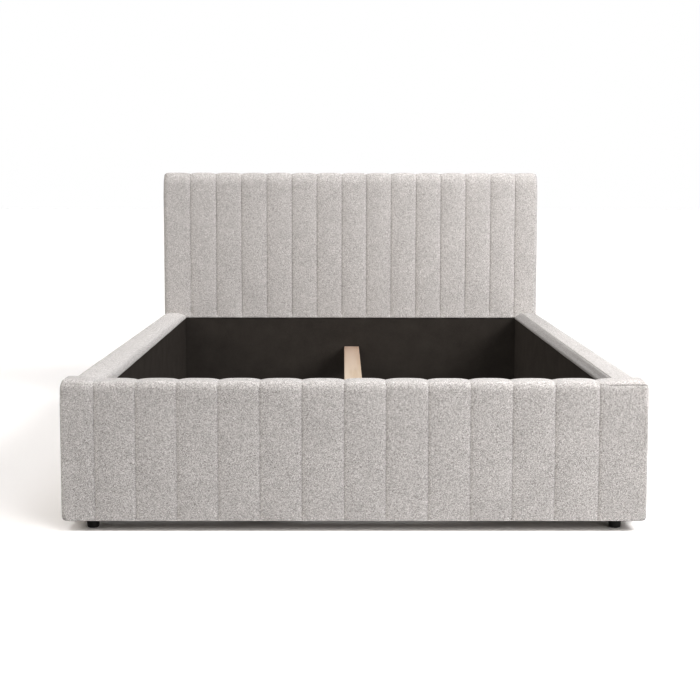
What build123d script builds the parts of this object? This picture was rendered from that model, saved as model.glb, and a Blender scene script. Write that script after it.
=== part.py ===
from build123d import *
from math import atan2, cos, degrees, sin, sqrt
import os

# Upholstered double bed frame for a 1400 x 2000 mattress, in millimetres.
# The origin is on the floor under the middle of the frame. +X is right, +Y runs from the
# foot end to the head end and +Z is up. Nothing but the glide of the middle leg moves.

# Overall sizes of the made-up frame
bed_width = 1600
bed_length = 2200
headboard_height = 1000
footboard_height = 417
rail_height = 402
ground_clearance = 31
headboard_depth = 100
footboard_depth = 90
rail_width = 95

# Foam and cover
front_foam = 25
top_foam = 18
end_foam = 14
rail_side_foam = 8
headboard_pad_bottom = 382
strip_bottom = 376

# Sewn channels of the headboard
head_seam_pitch = 106.6
head_seam_offset = 12.4
head_groove_depth = 8
head_top_groove_depth = 4
head_shoulder_radius = 14
head_end_radius = 15
head_top_corner_radius = 12
head_front_roll = 30
head_back_roll = 14

# Sewn channels of the footboard
foot_seam_pitch = 114.2
foot_seam_offset = -24
foot_groove_depth = 8
foot_top_groove_depth = 5
foot_shoulder_radius = 14
foot_end_radius = 10
foot_top_corner_radius = 26
foot_bottom_corner_radius = 12
foot_front_roll = 26
foot_back_roll = 20
foot_front_bottom_round = 4

# Rolled top of a side rail and the sloping strip sewn to its inner shoulder
rail_outer_roll = 16
rail_slope_width = 33
rail_slope_drop = 13
rail_slope_reach = 6
rail_bottom_round = 7
rail_crown = 3

# Boards and lining
panel_thick = 16
lower_board_thick = 20
back_board_thick = 4
cloth_thick = 2
inner_board_thick = 12
lining_thick = 2
rail_board_thick = 16

# Timber inside the upholstery
crossbar_height = 60
stile_width = 60
head_stile_count = 4
foot_stile_count = 5
lath_height = 40
end_block_length = 110
middle_block_length = 60
middle_block_count = 2

# Hook-in fittings between the rails and the two ends
plate_thick = 3
plate_width = 44
plate_height = 140
plate_centre_height = 200
tongue_thick = 3
tongue_height = 22
tongue_reach = 12
hook_drop = 8
tongue_spacing = 66
slot_side_clearance = 0.5
hook_clearance = 0.4
pocket_depth = 9.5
plate_screw_spacing_x = 28
plate_screw_spacing_z = 112

# Countersunk wood screws
screw_radius = 2
screw_head_radius = 4
screw_head_depth = 2.2
screw_length = 16
long_screw_length = 28
screw_side_count = 8

# Middle beam and the brackets under its ends
beam_width = 64
beam_height = 70
beam_top = 259
beam_offset = 5
beam_end_gap = 1.5
bracket_width = 50
bracket_leg = 55
bracket_thick = 3
bracket_bend_radius = 4
bracket_screw_spacing = 28
bracket_screw_inset = 20

# Short angles that carry the edge of a slatted base
angle_length = 60
angle_leg = 40
angle_thick = 3
angle_bend_radius = 4
angle_screw_spacing = 32
middle_angle_share = 0.463
foot_angle_share = 0.075

# Middle leg with its screw-in glide
leg_plate_width = 58
leg_plate_length = 92
leg_plate_thick = 4
leg_plate_corner = 8
leg_screw_spacing_x = 42
leg_screw_spacing_y = 74
leg_radius = 15
leg_wall = 1.5
leg_bottom = 30
bush_flange_thick = 3
bush_depth = 30
glide_stud_radius = 5
glide_running_clearance = 0.05
glide_pad_radius = 16
glide_pad_top_radius = 13
glide_pad_height = 8
glide_edge_round = 2
glide_nut_radius = 9
glide_nut_height = 6
glide_stud_length = 50

# Corner feet
foot_inset = 78
foot_top_radius = 19
foot_bottom_radius = 16.5
foot_edge_chamfer = 2
stud_radius = 4
stud_in_foot = 20
stud_in_timber = 32

# One overrun serves every cut
overrun = 5

# Places worked out from the sizes above
half_width = bed_width / 2
head_back = bed_length / 2
head_front = head_back - headboard_depth
foot_front = -bed_length / 2
foot_inner = foot_front + footboard_depth
core_half = half_width - end_foam
lining_recess = plate_thick
head_lining_face = head_front + lining_recess
foot_lining_face = foot_inner - lining_recess
rail_inner = half_width - rail_width
rail_lining_face = rail_inner + lining_recess
rail_length = head_front - foot_inner
head_core_front = head_front + front_foam
head_timber_front = head_core_front + panel_thick
head_timber_back = head_back - cloth_thick - back_board_thick
head_core_top = headboard_height - top_foam
foot_core_front = foot_front + front_foam
foot_timber_front = foot_core_front + panel_thick
foot_core_back = foot_lining_face - lining_thick
foot_timber_back = foot_core_back - inner_board_thick
foot_core_top = footboard_height - top_foam
rail_core_top = rail_height - top_foam
rail_inner_board_face = rail_lining_face + lining_thick
rail_cavity_inner = rail_inner_board_face + rail_board_thick
rail_cavity_outer = half_width - rail_side_foam - rail_board_thick
plate_centre_x = (rail_cavity_inner + rail_cavity_outer) / 2
beam_bottom = beam_top - beam_height
leg_place = (head_front + foot_inner) / 2


def box(low, high):
    """A square-edged solid between two opposite corners."""
    size = [b - a for a, b in zip(low, high)]
    solid = Box(*size, align=(Align.MIN, Align.MIN, Align.MIN))
    return Pos(*low) * solid


def join(pieces):
    """Several separate solids held as one node."""
    return Compound(children=list(pieces))


def spread(count, spacing, offset=0):
    """Evenly spaced places about an offset."""
    return [offset + (index - (count - 1) / 2) * spacing for index in range(count)]


def grid(spacing_u, spacing_v):
    """The four corners of a rectangular hole pattern."""
    return [(u, v) for u in spread(2, spacing_u) for v in spread(2, spacing_v)]


def channel_face(half, bottom, crest, seams, groove_depth, shoulder, top_corner, bottom_corner=0):
    """Outline whose top edge swells between seams: a level run with a round shoulder each side."""
    run = sqrt(2 * shoulder * groove_depth - groove_depth**2)
    edges = []
    at = (-half + top_corner, crest)
    edges.append(TangentArc(at, (-half, crest - top_corner), tangent=(-1, 0)))
    for seam in seams:
        shoulder_start = (seam - run, crest)
        valley = (seam, crest - groove_depth)
        shoulder_end = (seam + run, crest)
        edges.append(Line(at, shoulder_start))
        edges.append(TangentArc(shoulder_start, valley, tangent=(1, 0)))
        edges.append(TangentArc(shoulder_end, valley, tangent=(-1, 0)))
        at = shoulder_end
    last = (half - top_corner, crest)
    edges.append(Line(at, last))
    edges.append(TangentArc(last, (half, crest - top_corner), tangent=(1, 0)))
    if bottom_corner:
        low_right = (half - bottom_corner, bottom)
        low_left = (-half + bottom_corner, bottom)
        edges.append(Line((half, crest - top_corner), (half, bottom + bottom_corner)))
        edges.append(TangentArc((half, bottom + bottom_corner), low_right, tangent=(0, -1)))
        edges.append(Line(low_right, low_left))
        edges.append(TangentArc((-half, bottom + bottom_corner), low_left, tangent=(0, -1)))
        edges.append(Line((-half, bottom + bottom_corner), (-half, crest - top_corner)))
    else:
        side_top = crest - top_corner
        edges.append(Polyline((half, side_top), (half, bottom), (-half, bottom), (-half, side_top)))
    return make_face(edges)


def rolled_profile(front, back, bottom, top, front_roll, back_roll, bottom_round=0):
    """Side outline of an upholstered end: round over the top, and under the front if asked."""
    edges = [
        Line((front, bottom + bottom_round), (front, top - front_roll)),
        TangentArc((front, top - front_roll), (front + front_roll, top), tangent=(0, 1)),
        Line((front + front_roll, top), (back - back_roll, top)),
        TangentArc((back - back_roll, top), (back, top - back_roll), tangent=(1, 0)),
        Polyline((back, top - back_roll), (back, bottom), (front + bottom_round, bottom)),
    ]
    if bottom_round:
        edges.append(TangentArc((front, bottom + bottom_round), (front + bottom_round, bottom), tangent=(0, -1)))
    return make_face(edges)


def quilted_block(plan_face, back, elevation_face, side_face):
    """The common volume of a channelled plan, a channelled elevation and a rolled side outline."""
    looking_down = Plane(origin=(0, back, headboard_height), x_dir=(1, 0, 0), z_dir=(0, 0, -1))
    plan = extrude(looking_down * plan_face, headboard_height)
    behind = Plane(origin=(0, head_back, 0), x_dir=(1, 0, 0), z_dir=(0, -1, 0))
    elevation = extrude(behind * elevation_face, bed_length)
    side = extrude(Plane.YZ * side_face, half_width, both=True)
    return plan & elevation & side


def screw(length):
    """Countersunk screw, many-sided, whose flat head lies at the origin and whose shank points down."""
    rim = RegularPolygon(screw_head_radius, screw_side_count, major_radius=False)
    neck = Pos(0, 0, -screw_head_depth) * RegularPolygon(screw_radius, screw_side_count, major_radius=False)
    head_angle = degrees(atan2(screw_head_radius - screw_radius, screw_head_depth))
    return extrude(rim, -screw_head_depth, taper=head_angle) + extrude(neck, screw_head_depth - length)


def screws_at(places, direction, length=screw_length):
    """Screws driven along a direction from each place."""
    driven = screw(length)
    return [Plane(origin=place, z_dir=[-part for part in direction]) * driven for place in places]


def mirrored(solid):
    return mirror(solid, Plane.YZ)


# Headboard


def seams_across(pitch, offset):
    """One seam fewer than the channels that fit the width."""
    return spread(round(bed_width / pitch) - 1, pitch, offset)


def head_seams():
    return seams_across(head_seam_pitch, head_seam_offset)


def make_headboard_pad():
    plan = channel_face(
        half_width, 0, headboard_depth, head_seams(), head_groove_depth, head_shoulder_radius, head_end_radius
    )
    elevation = channel_face(
        half_width,
        ground_clearance,
        headboard_height,
        head_seams(),
        head_top_groove_depth,
        head_shoulder_radius,
        head_top_corner_radius,
    )
    side = rolled_profile(
        head_front, head_back, ground_clearance, headboard_height, head_front_roll, head_back_roll
    )
    block = quilted_block(plan, head_back, elevation, side)
    core = box((-core_half, head_core_front, 0), (core_half, head_back + overrun, head_core_top))
    below_cover = box((-core_half, head_front - overrun, 0), (core_half, head_back + overrun, headboard_pad_bottom))
    return block - core - below_cover


def make_headboard_panel():
    return box((-core_half, head_core_front, ground_clearance), (core_half, head_timber_front, head_core_top))


def stile_places(count):
    end = core_half - stile_width / 2
    return spread(count, 2 * end / (count - 1))


def upright_timbers(count, front, back, bottom, top):
    """Stiles that stand between the top and bottom crossbars."""
    return join(
        box(
            (place - stile_width / 2, front, bottom + crossbar_height),
            (place + stile_width / 2, back, top - crossbar_height),
        )
        for place in stile_places(count)
    )


def level_timbers(count, front, back, bottom, top, stud_holes, noggin_centre=0):
    """Full-width crossbars at top and bottom, with short noggins between the stiles if asked."""
    low = box((-core_half, front, bottom), (core_half, back, bottom + crossbar_height))
    bars = [low - stud_holes, box((-core_half, front, top - crossbar_height), (core_half, back, top))]
    if noggin_centre:
        places = stile_places(count)
        for left, right in zip(places, places[1:]):
            low_corner = (left + stile_width / 2, front, noggin_centre - crossbar_height / 2)
            high_corner = (right - stile_width / 2, back, noggin_centre + crossbar_height / 2)
            bars.append(box(low_corner, high_corner))
    return join(bars)


def make_lower_board(cutters):
    board = box(
        (-core_half, head_lining_face + lining_thick, ground_clearance),
        (core_half, head_core_front, headboard_pad_bottom),
    )
    return board - cutters


def make_headboard_lining(cutters):
    sheet = box(
        (-core_half, head_lining_face, ground_clearance),
        (core_half, head_lining_face + lining_thick, headboard_pad_bottom),
    )
    return sheet - cutters


def make_headboard_back_board():
    return box(
        (-core_half, head_timber_back, ground_clearance),
        (core_half, head_timber_back + back_board_thick, head_core_top),
    )


def make_headboard_back_cloth():
    return box((-core_half, head_back - cloth_thick, ground_clearance), (core_half, head_back, head_core_top))


# Footboard


def foot_seams():
    return seams_across(foot_seam_pitch, foot_seam_offset)


def make_footboard_pad():
    plan = channel_face(
        half_width, 0, footboard_depth, foot_seams(), foot_groove_depth, foot_shoulder_radius, foot_end_radius
    )
    elevation = channel_face(
        half_width,
        ground_clearance,
        footboard_height,
        foot_seams(),
        foot_top_groove_depth,
        foot_shoulder_radius,
        foot_top_corner_radius,
        foot_bottom_corner_radius,
    )
    side = rolled_profile(
        foot_front,
        foot_inner,
        ground_clearance,
        footboard_height,
        foot_front_roll,
        foot_back_roll,
        foot_front_bottom_round,
    )
    block = quilted_block(plan, foot_inner, elevation, side)
    core = box((-core_half, foot_core_front, 0), (core_half, foot_core_back, foot_core_top))
    below_strip = box((-core_half, foot_core_front, 0), (core_half, foot_inner + overrun, strip_bottom))
    return block - core - below_strip


def make_footboard_panel():
    return box((-core_half, foot_core_front, ground_clearance), (core_half, foot_timber_front, foot_core_top))


def make_footboard_inner_board(cutters):
    board = box((-core_half, foot_timber_back, ground_clearance), (core_half, foot_core_back, foot_core_top))
    return board - cutters


def make_footboard_lining(cutters):
    sheet = box((-core_half, foot_core_back, ground_clearance), (core_half, foot_lining_face, strip_bottom))
    return sheet - cutters


# Side rails, drawn on the right and mirrored for the left


def rail_pad_face():
    """Cover and foam in section: down the outside, over the crowned top, down a slope and round onto the inside."""
    shoulder_height = rail_height - rail_crown
    slope = atan2(rail_slope_drop, rail_slope_width)
    slope_foot = shoulder_height - rail_slope_drop
    inner_start = (rail_inner, slope_foot - rail_slope_reach)
    inner_end = (rail_inner + rail_slope_reach * cos(slope), slope_foot + rail_slope_reach * sin(slope))
    shoulder = (rail_inner + rail_slope_width, shoulder_height)
    outer_start = (half_width - rail_outer_roll, shoulder_height)
    outer_end = (half_width, shoulder_height - rail_outer_roll)
    crown = ((shoulder[0] + outer_start[0]) / 2, rail_height)
    low_start = (half_width, ground_clearance + rail_bottom_round)
    low_end = (half_width - rail_bottom_round, ground_clearance)
    edges = [
        Line((rail_inner, strip_bottom), inner_start),
        TangentArc(inner_start, inner_end, tangent=(0, 1)),
        Line(inner_end, shoulder),
        ThreePointArc(shoulder, crown, outer_start),
        TangentArc(outer_start, outer_end, tangent=(1, 0)),
        Line(outer_end, low_start),
        TangentArc(low_start, low_end, tangent=(0, -1)),
        Polyline(
            low_end,
            (half_width - rail_side_foam, ground_clearance),
            (half_width - rail_side_foam, rail_core_top),
            (rail_inner_board_face, rail_core_top),
            (rail_inner_board_face, strip_bottom),
            (rail_inner, strip_bottom),
        ),
    ]
    return make_face(edges)


def make_rail_pad():
    at_foot = Plane(origin=(0, head_front, 0), x_dir=(1, 0, 0), z_dir=(0, -1, 0))
    return extrude(at_foot * rail_pad_face(), rail_length)


def make_rail_outer_board():
    return box(
        (rail_cavity_outer, foot_inner, ground_clearance),
        (rail_cavity_outer + rail_board_thick, head_front, rail_core_top),
    )


def make_rail_inner_board(cutters):
    board = box(
        (rail_inner_board_face, foot_inner, ground_clearance), (rail_cavity_inner, head_front, rail_core_top)
    )
    return board - cutters


def make_rail_laths():
    low = box(
        (rail_cavity_inner, foot_inner, ground_clearance),
        (rail_cavity_outer, head_front, ground_clearance + lath_height),
    )
    high = box(
        (rail_cavity_inner, foot_inner, rail_core_top - lath_height), (rail_cavity_outer, head_front, rail_core_top)
    )
    return join([low, high])


def make_rail_blocks(cutters):
    """An end block takes each hook plate; the others keep the two boards apart."""
    bottom = ground_clearance + lath_height
    top = rail_core_top - lath_height
    free = rail_length - 2 * end_block_length
    lengths = [(foot_inner, foot_inner + end_block_length), (head_front - end_block_length, head_front)]
    for place in spread(middle_block_count, free / (middle_block_count + 1), leg_place):
        lengths.append((place - middle_block_length / 2, place + middle_block_length / 2))
    blocks = [box((rail_cavity_inner, start, bottom), (rail_cavity_outer, end, top)) for start, end in lengths]
    return join(block - cutters for block in blocks)


def make_rail_lining(cutters):
    sheet = box(
        (rail_lining_face, foot_inner, ground_clearance), (rail_inner_board_face, head_front, strip_bottom)
    )
    return sheet - cutters


# Hook-in fittings, drawn for the head end with the touching face at y = 0 and +Y into the headboard


def tongue_heights():
    return spread(2, tongue_spacing, plate_centre_height)


def hook_tongue(height):
    """Flat tongue that passes a slot and drops behind the slot plate."""
    top = height + tongue_height / 2
    bottom = height - tongue_height / 2
    behind_plate = plate_thick + hook_clearance
    outline = make_face(
        Polyline(
            (0, top),
            (tongue_reach, top),
            (tongue_reach, bottom - hook_drop),
            (behind_plate, bottom - hook_drop),
            (behind_plate, bottom),
            (0, bottom),
            (0, top),
        )
    )
    return extrude(Plane.YZ * outline, tongue_thick / 2, both=True)


def plate_screw_places():
    return [(u, plate_centre_height + v) for u, v in grid(plate_screw_spacing_x, plate_screw_spacing_z)]


def upright_plate(back, front):
    low = plate_centre_height - plate_height / 2
    return box((-plate_width / 2, back, low), (plate_width / 2, front, low + plate_height))


def hook_plate():
    plate = upright_plate(-plate_thick, 0)
    for driven in hook_plate_screws():
        plate -= driven
    for height in tongue_heights():
        plate += hook_tongue(height)
    return plate


def hook_plate_screws():
    return screws_at([(u, 0, v) for u, v in plate_screw_places()], (0, -1, 0))


def slot_opening(height, depth, side_clearance):
    """Room for a tongue and for lifting it out by the drop of its hook."""
    half = tongue_thick / 2 + side_clearance
    low = height - tongue_height / 2
    high = height + tongue_height / 2 + hook_drop + hook_clearance
    return box((-half, -overrun, low), (half, depth, high))


def slot_plate():
    plate = upright_plate(0, plate_thick)
    for height in tongue_heights():
        plate -= slot_opening(height, plate_thick + overrun, slot_side_clearance)
    for driven in slot_plate_screws():
        plate -= driven
    return plate


def slot_plate_screws():
    return screws_at([(u, 0, v) for u, v in plate_screw_places()], (0, 1, 0))


def slot_plate_cutter():
    """Recess for the slot plate, its screws and a pocket behind each slot for the hook."""
    parts = [upright_plate(-overrun, plate_thick)]
    half = tongue_thick / 2 + slot_side_clearance
    for height in tongue_heights():
        low = height - tongue_height / 2 - hook_drop - hook_clearance
        high = height + tongue_height / 2 + hook_drop + hook_clearance
        parts.append(box((-half, 0, low), (half, plate_thick + pocket_depth, high)))
    return parts + slot_plate_screws()


def corner_locations():
    """Name and placing of each fitting: the head ends as drawn, the foot ends turned about."""
    return {
        "left_head": Location((-plate_centre_x, head_lining_face, 0)),
        "right_head": Location((plate_centre_x, head_lining_face, 0)),
        "left_foot": Location((-plate_centre_x, foot_lining_face, 0), (0, 0, 180)),
        "right_foot": Location((plate_centre_x, foot_lining_face, 0), (0, 0, 180)),
    }


# Middle beam and what carries it


def bent_bracket(width, leg, thick, bend_radius):
    """Angle in the YZ plane with its outer corner at the origin: one leg down, one towards -Y."""
    outline = make_face(
        Polyline((0, 0), (0, -leg), (-thick, -leg), (-thick, -thick), (-leg, -thick), (-leg, 0), (0, 0))
    )
    solid = extrude(Plane.YZ * outline, width / 2, both=True)
    inner = solid.edges().filter_by(Axis.X).sort_by_distance((0, -thick, -thick))[0]
    solid = fillet(inner, bend_radius - thick / 2)
    outer = solid.edges().filter_by(Axis.X).sort_by_distance((0, 0, 0))[0]
    return fillet(outer, bend_radius)


def beam_bracket():
    """Bracket with its screws, as placed at the head end of the beam."""
    solid = bent_bracket(bracket_width, bracket_leg, bracket_thick, bracket_bend_radius)
    along_leg = bracket_screw_inset - bracket_leg
    sideways = spread(2, bracket_screw_spacing)
    into_board = [(place, -bracket_thick, along_leg) for place in sideways]
    into_beam = [(place, along_leg, -bracket_thick) for place in sideways]
    screws = screws_at(into_board, (0, 1, 0)) + screws_at(into_beam, (0, 0, 1))
    for driven in screws:
        solid -= driven
    return solid, screws


def beam_bracket_locations():
    return {
        "head": Location((beam_offset, head_lining_face, beam_bottom)),
        "foot": Location((beam_offset, foot_lining_face, beam_bottom), (0, 0, 180)),
    }


def make_beam(cutters):
    beam = box(
        (beam_offset - beam_width / 2, foot_lining_face + beam_end_gap, beam_bottom),
        (beam_offset + beam_width / 2, head_lining_face - beam_end_gap, beam_top),
    )
    return beam - cutters


def slat_angle():
    """Angle on the right rail's inner face, outer corner at the origin, with its two screws."""
    solid = Rot(0, 0, -90) * bent_bracket(angle_length, angle_leg, angle_thick, angle_bend_radius)
    places = [(-angle_thick, place, -angle_leg / 2) for place in spread(2, angle_screw_spacing)]
    screws = screws_at(places, (1, 0, 0))
    for driven in screws:
        solid -= driven
    return solid, screws


# Middle leg


def leg_plate_screws():
    places = [
        (beam_offset + u, leg_place + v, beam_bottom - leg_plate_thick)
        for u, v in grid(leg_screw_spacing_x, leg_screw_spacing_y)
    ]
    return screws_at(places, (0, 0, 1), long_screw_length)


def make_leg_plate(cutters):
    outline = RectangleRounded(leg_plate_width, leg_plate_length, leg_plate_corner)
    at = Pos(beam_offset, leg_place, beam_bottom - leg_plate_thick)
    return extrude(at * outline, leg_plate_thick) - cutters


def make_leg_tube():
    height = beam_bottom - leg_plate_thick - leg_bottom
    ring = Circle(leg_radius) - Circle(leg_radius - leg_wall)
    return extrude(Pos(beam_offset, leg_place, leg_bottom) * ring, height)


def make_leg_bush():
    bore = glide_stud_radius + glide_running_clearance
    outline = make_face(
        Polyline(
            (bore, -bush_flange_thick),
            (leg_radius, -bush_flange_thick),
            (leg_radius, 0),
            (leg_radius - leg_wall, 0),
            (leg_radius - leg_wall, bush_depth),
            (bore, bush_depth),
            (bore, -bush_flange_thick),
        )
    )
    return Pos(beam_offset, leg_place, leg_bottom) * revolve(Plane.XZ * outline, Axis.Z)


def make_leg_glide():
    """Plastic pad with a hexagon collar and a long stud, standing on the floor."""
    pad_outline = make_face(
        Polyline(
            (0, 0),
            (glide_pad_radius - glide_edge_round, 0),
            (glide_pad_radius, glide_edge_round),
            (glide_pad_top_radius, glide_pad_height),
            (0, glide_pad_height),
            (0, 0),
        )
    )
    pad = revolve(Plane.XZ * pad_outline, Axis.Z)
    collar = extrude(Pos(0, 0, glide_pad_height) * RegularPolygon(glide_nut_radius, 6), glide_nut_height)
    stud = extrude(Pos(0, 0, glide_pad_height) * Circle(glide_stud_radius), glide_stud_length)
    return Pos(beam_offset, leg_place, 0) * (pad + collar + stud)


# Corner feet


def foot_places():
    x = half_width - foot_inset
    front = (foot_timber_front + foot_timber_back) / 2
    back = (head_timber_front + head_timber_back) / 2
    return {
        "front_left": (-x, front),
        "front_right": (x, front),
        "back_left": (-x, back),
        "back_right": (x, back),
    }


def corner_foot():
    """Slightly tapered plastic foot with a broken lower edge and a blind hole for its stud."""
    hole_floor = ground_clearance - stud_in_foot
    outline = make_face(
        Polyline(
            (0, 0),
            (foot_bottom_radius - foot_edge_chamfer, 0),
            (foot_bottom_radius, foot_edge_chamfer),
            (foot_top_radius, ground_clearance),
            (stud_radius, ground_clearance),
            (stud_radius, hole_floor),
            (0, hole_floor),
            (0, 0),
        )
    )
    return revolve(Plane.XZ * outline, Axis.Z)


def foot_studs():
    length = stud_in_foot + stud_in_timber
    return [
        extrude(Pos(x, y, ground_clearance - stud_in_foot) * Circle(stud_radius), length)
        for x, y in foot_places().values()
    ]


def build():
    """Every node of the frame by name."""
    parts = {}
    corners = corner_locations()
    hook_screws = {name: [spot * one for one in hook_plate_screws()] for name, spot in corners.items()}
    slot_screws = {name: [spot * one for one in slot_plate_screws()] for name, spot in corners.items()}
    slot_cuts = {name: [spot * one for one in slot_plate_cutter()] for name, spot in corners.items()}
    bracket, bracket_screws = beam_bracket()
    beam_spots = beam_bracket_locations()
    beam_screws = {name: [spot * one for one in bracket_screws] for name, spot in beam_spots.items()}
    studs = foot_studs()

    head_cuts = slot_cuts["left_head"] + slot_cuts["right_head"] + beam_screws["head"]
    parts["headboard_pad"] = make_headboard_pad()
    parts["headboard_panel"] = make_headboard_panel()
    parts["headboard_stiles"] = upright_timbers(
        head_stile_count, head_timber_front, head_timber_back, ground_clearance, head_core_top
    )
    parts["headboard_crossbars"] = level_timbers(
        head_stile_count,
        head_timber_front,
        head_timber_back,
        ground_clearance,
        head_core_top,
        studs,
        headboard_pad_bottom,
    )
    parts["headboard_lower_board"] = make_lower_board(head_cuts)
    parts["headboard_lining"] = make_headboard_lining(head_cuts)
    parts["headboard_back_board"] = make_headboard_back_board()
    parts["headboard_back_cloth"] = make_headboard_back_cloth()

    foot_cuts = slot_cuts["left_foot"] + slot_cuts["right_foot"] + beam_screws["foot"]
    parts["footboard_pad"] = make_footboard_pad()
    parts["footboard_panel"] = make_footboard_panel()
    parts["footboard_stiles"] = join(
        stile - foot_cuts
        for stile in upright_timbers(
            foot_stile_count, foot_timber_front, foot_timber_back, ground_clearance, foot_core_top
        ).solids()
    )
    parts["footboard_crossbars"] = level_timbers(
        foot_stile_count, foot_timber_front, foot_timber_back, ground_clearance, foot_core_top, studs
    )
    parts["footboard_inner_board"] = make_footboard_inner_board(foot_cuts)
    parts["footboard_lining"] = make_footboard_lining(foot_cuts)

    angle, angle_screws = slat_angle()
    angle_shares = {"middle": middle_angle_share, "foot": foot_angle_share}
    angle_spots = {
        name: Pos(rail_lining_face, foot_inner + share * rail_length, beam_top)
        for name, share in angle_shares.items()
    }
    placed_angle_screws = [spot * one for spot in angle_spots.values() for one in angle_screws]
    right_hook_screws = hook_screws["right_head"] + hook_screws["right_foot"]
    rail = {
        "pad": make_rail_pad(),
        "outer_board": make_rail_outer_board(),
        "inner_board": make_rail_inner_board(placed_angle_screws),
        "laths": make_rail_laths(),
        "blocks": make_rail_blocks(right_hook_screws),
        "lining": make_rail_lining(placed_angle_screws),
    }
    for name, solid in rail.items():
        parts["right_rail_" + name] = solid
        parts["left_rail_" + name] = mirrored(solid)
    for name, spot in angle_spots.items():
        parts["right_" + name + "_slat_angle"] = spot * angle
        parts["left_" + name + "_slat_angle"] = mirrored(spot * angle)
    parts["slat_angle_screws"] = join(placed_angle_screws + [mirrored(one) for one in placed_angle_screws])

    for name, spot in corners.items():
        parts[name + "_hook_plate"] = spot * hook_plate()
        parts[name + "_slot_plate"] = spot * slot_plate()
    parts["hook_plate_screws"] = join(one for group in hook_screws.values() for one in group)
    parts["slot_plate_screws"] = join(one for group in slot_screws.values() for one in group)

    leg_screws = leg_plate_screws()
    parts["centre_beam"] = make_beam(beam_screws["head"] + beam_screws["foot"] + leg_screws)
    for name, spot in beam_spots.items():
        parts["beam_" + name + "_bracket"] = spot * bracket
    parts["beam_bracket_screws"] = join(one for group in beam_screws.values() for one in group)
    parts["leg_plate"] = make_leg_plate(leg_screws)
    parts["leg_plate_screws"] = join(leg_screws)
    parts["leg_tube"] = make_leg_tube()
    parts["leg_bush"] = make_leg_bush()
    parts["leg_glide"] = make_leg_glide()

    foot = corner_foot()
    for name, (x, y) in foot_places().items():
        parts[name + "_foot"] = Pos(x, y, 0) * foot
    parts["foot_studs"] = join(studs)
    return parts


if __name__ == "__main__":
    os.makedirs("parts", exist_ok=True)
    for node_name, node in build().items():
        export_step(node, "parts/" + node_name + ".step")
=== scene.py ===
"""Looks of an upholstered double bed frame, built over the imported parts. Metres, origin on the floor."""

import math

import bmesh
import bpy
import numpy as np
from mathutils import Matrix, Vector


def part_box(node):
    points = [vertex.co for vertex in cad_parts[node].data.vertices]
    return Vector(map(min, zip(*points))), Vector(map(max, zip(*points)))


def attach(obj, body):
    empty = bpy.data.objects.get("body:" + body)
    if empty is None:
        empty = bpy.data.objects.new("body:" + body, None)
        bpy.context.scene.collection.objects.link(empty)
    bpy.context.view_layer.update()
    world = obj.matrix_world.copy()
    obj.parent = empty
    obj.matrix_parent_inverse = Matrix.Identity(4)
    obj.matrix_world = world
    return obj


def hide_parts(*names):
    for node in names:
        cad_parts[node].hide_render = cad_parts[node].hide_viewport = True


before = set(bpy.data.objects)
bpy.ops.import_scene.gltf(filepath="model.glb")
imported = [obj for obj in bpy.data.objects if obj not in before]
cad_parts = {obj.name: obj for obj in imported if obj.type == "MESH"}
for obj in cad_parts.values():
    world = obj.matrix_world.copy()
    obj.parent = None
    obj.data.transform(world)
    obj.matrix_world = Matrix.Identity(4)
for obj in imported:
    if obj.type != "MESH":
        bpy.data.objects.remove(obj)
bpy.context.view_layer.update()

mm = 0.001

# Seams of the sewn channels, from left to right across the bed
head_seams = mm * np.array(
    [-685.5, -575, -467, -359, -251.5, -145, -38, 67, 172, 278.5, 384.5, 491, 598, 703]
)
foot_seams = mm * np.array([-707, -595, -483, -371, -257.5, -143, -28, 85.5, 200.5, 315, 429.5, 545, 665])

# All covers
cloth = 2 * mm
stitch_width = 1.3 * mm
side_tuck = 1.5 * mm

# Headboard cover
head_end_reach = 22 * mm
head_end_round = 12 * mm
head_front_roll = 21 * mm
head_back_roll = 12 * mm
head_roll_height = 50 * mm
head_crest_rise = 3.2 * mm
head_back_rim = 28 * mm
head_tuck = 12 * mm
head_tuck_depth = 1 * mm
head_hem_relief = 0.45
head_hem_fade = 22 * mm

# Footboard cover
foot_end_round = 9 * mm
foot_end_round_top = 17 * mm
foot_end_round_more = 4 * mm
foot_front_roll = 13 * mm
foot_back_roll = 20 * mm
foot_roll_height = 28 * mm
foot_bottom_round = 1.5 * mm
foot_bottom_corner = 13 * mm
foot_bottom_lip = 30 * mm
foot_core_lap = 6 * mm
foot_hem_drop = 1.5 * mm
foot_hem_reach = 40 * mm
foot_panel_seam = 408 * mm
foot_crest_drop = 2.8 * mm
foot_ear_left = 5 * mm
foot_ear_right = 2.6 * mm

# Rail covers
rail_top_reach = 40 * mm
rail_under_lap = 24 * mm

# Inside of the bed
pad_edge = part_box("headboard_lining")[1].z
strip_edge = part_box("footboard_lining")[1].z
core_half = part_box("headboard_panel")[1].x


# Surfaces as arrays


def graded(low, high, features, fine, growth, coarse):
    """Places from low to high whose spacing is fine at a feature, grows in proportion to the distance from
    the nearest one up to coarse, and has every feature exactly on a place."""
    features = np.unique(np.concatenate([[low, high], features]))
    dense = np.linspace(low, high, 8000)
    distance = np.abs(dense[:, None] - features[None, :]).min(axis=1)
    spacing = np.minimum(fine + growth * distance, coarse)
    count = np.concatenate([[0], np.cumsum(np.diff(dense) * 2 / (spacing[1:] + spacing[:-1]))])
    places = np.interp(np.linspace(0, count[-1], int(np.ceil(count[-1])) + 1), count, dense)
    places[np.abs(places[:, None] - features[None, :]).argmin(axis=0)] = features
    return places


def smooth(value, start, end):
    """Goes from 0 at start to 1 at end along a cubic with level ends."""
    share = np.clip((value - start) / (end - start), 0, 1)
    return share * share * (3 - 2 * share)


def between(first, second, share):
    """The value that lies share of the way from first to second."""
    return first + (second - first) * share


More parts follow.
